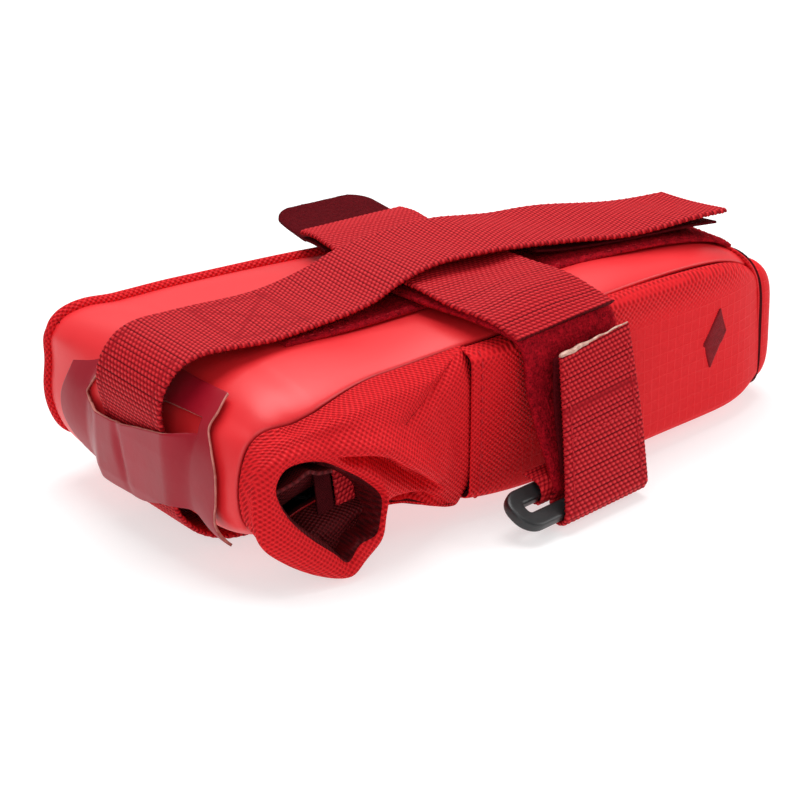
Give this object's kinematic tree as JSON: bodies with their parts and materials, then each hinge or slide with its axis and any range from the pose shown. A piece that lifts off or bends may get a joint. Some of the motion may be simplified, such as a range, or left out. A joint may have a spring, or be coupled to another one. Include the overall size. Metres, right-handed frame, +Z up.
{
  "type": "saddle bag",
  "caption": "Compact bicycle saddle bag with a rolled side closure, a seat-post strap lying along the top and a cross strap that doubles back through a plastic loop.",
  "frame": {"origin": "middle of the flat of the base, on its underside, 80 mm behind the front seam", "axes": "+X from the seat-post end to the tail, +Y to the far side away from the closure, +Z up to the saddle"},
  "size_m": [0.2019, 0.119, 0.0592],
  "materials": {
    "coated_cloth": "satin coated cloth",
    "woven_cloth": "ballistic weave",
    "lining": "plain lining cloth",
    "stiff_board": "sheet plastic",
    "webbing": "ribbed polyester webbing",
    "loop_tape": "fuzzy loop pile",
    "hook_tape": "fine hook tape",
    "patch_film": "semi-gloss film with pale cut edges",
    "black_plastic": "satin moulded plastic",
    "sealed_edge": "heat-cut edge",
    "embroidery": "thread"
  },
  "bodies": {
    "shell": {"top_panel": "coated_cloth", "far_side_panel": "woven_cloth", "base_panel": "coated_cloth", "near_side_panel": "woven_cloth", "front_panel": "coated_cloth", "tail_panel": "woven_cloth", "top_stiffener": "lining", "base_board": "stiff_board", "inner_pocket": "lining", "mouth_lip": "woven_cloth", "far_piping": "woven_cloth", "tail_motif": "embroidery", "lash_patch": "patch_film", "strap_root": "webbing", "top_loop_tape": "loop_tape", "closure_ring": "black_plastic", "ring_anchor": "webbing", "cross_loop_strap": "loop_tape", "cross_webbing_near": "webbing", "cross_webbing_root": "webbing"},
    "closure": {"closure_flap": "woven_cloth", "closure_lining": "lining", "closure_ear": "woven_cloth", "ear_fold": "lining", "ear_seam_tape": "lining", "ear_pull_webbing": "webbing"},
    "long_strap": {"strap_run": "webbing"},
    "long_strap_end": {"strap_tail": "webbing", "strap_hook_tape": "hook_tape"},
    "cross_end": {"cross_webbing_far": "webbing", "hook_strap": "hook_tape"},
    "hook_end": {"hook_tab": "hook_tape"},
    "tab": {"closure_tab": "webbing", "tab_hook_tape": "hook_tape", "tab_end_seal": "sealed_edge"}
  },
  "joints": [
    {"name": "closure_lift", "type": "hinge", "parent": "shell", "child": "closure", "pos_m": [-0.052, -0.0435, 0.0452], "axis": [-1, 0, 0], "range_deg": [0, 75]},
    {"name": "long_strap_lift", "type": "hinge", "parent": "shell", "child": "long_strap", "pos_m": [-0.0897, -0.004, 0.048], "axis": [0, -1, 0], "range_deg": [0, 60]},
    {"name": "long_strap_peel", "type": "hinge", "parent": "long_strap", "child": "long_strap_end", "pos_m": [0.0195, -0.0005, 0.0576], "axis": [0, -1, 0], "range_deg": [0, 85]},
    {"name": "cross_end_lift", "type": "hinge", "parent": "shell", "child": "cross_end", "pos_m": [-0.002, 0.0214, 0.0544], "axis": [1, 0, 0], "range_deg": [0, 75]},
    {"name": "hook_end_fold", "type": "hinge", "parent": "cross_end", "child": "hook_end", "pos_m": [0.001, 0.0402, 0.0512], "axis": [1, 0, 0], "range_deg": [0, 60]},
    {"name": "tab_peel", "type": "hinge", "parent": "shell", "child": "tab", "pos_m": [0.0105, -0.0547, 0.005], "axis": [0.9914, 0.1309, 0], "range_deg": [0, 85]}
  ]
}
